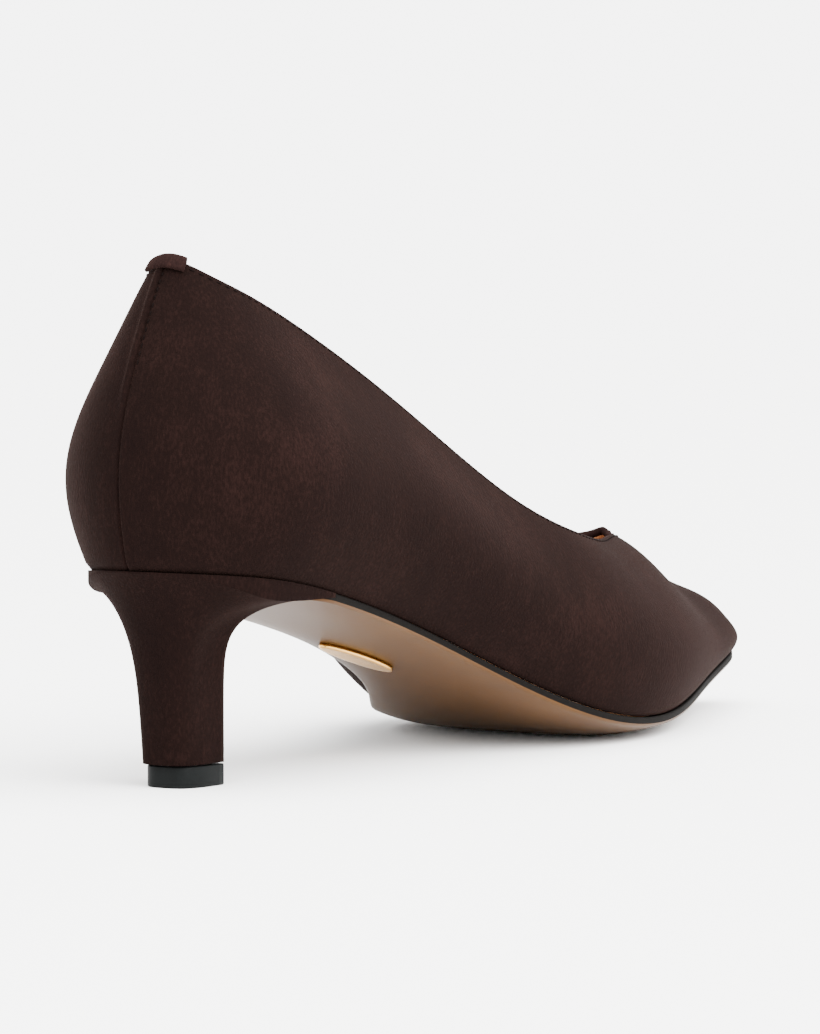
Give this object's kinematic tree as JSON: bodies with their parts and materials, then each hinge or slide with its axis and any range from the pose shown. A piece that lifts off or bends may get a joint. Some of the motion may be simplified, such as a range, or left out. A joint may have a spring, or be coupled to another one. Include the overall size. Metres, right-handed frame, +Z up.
{
  "type": "low heel pump",
  "caption": "Right shoe: a low heel pump in dark brown suede with a pointed toe, a slim block heel with a black top lift, a leather sole and a folded tab at the back of the collar.",
  "frame": {"origin": "on the floor, under the middle of the heel's top lift", "axes": "+Y towards the toe, +X to the outer side of the right foot, +Z up"},
  "size_m": [0.0832, 0.2518, 0.1087],
  "materials": {
    "suede": "dark brown suede",
    "sock_leather": "tan lining leather",
    "sole_leather": "satin tan sole leather, dark painted edge",
    "lift_plastic": "black moulded plastic",
    "plaque_metal": "polished gold tone"
  },
  "bodies": {
    "root": {"upper": "suede", "back_tab": "suede", "insole": "sock_leather", "outsole": "sole_leather", "heel": "suede", "top_lift": "lift_plastic", "sole_plaque": "plaque_metal"}
  },
  "joints": []
}
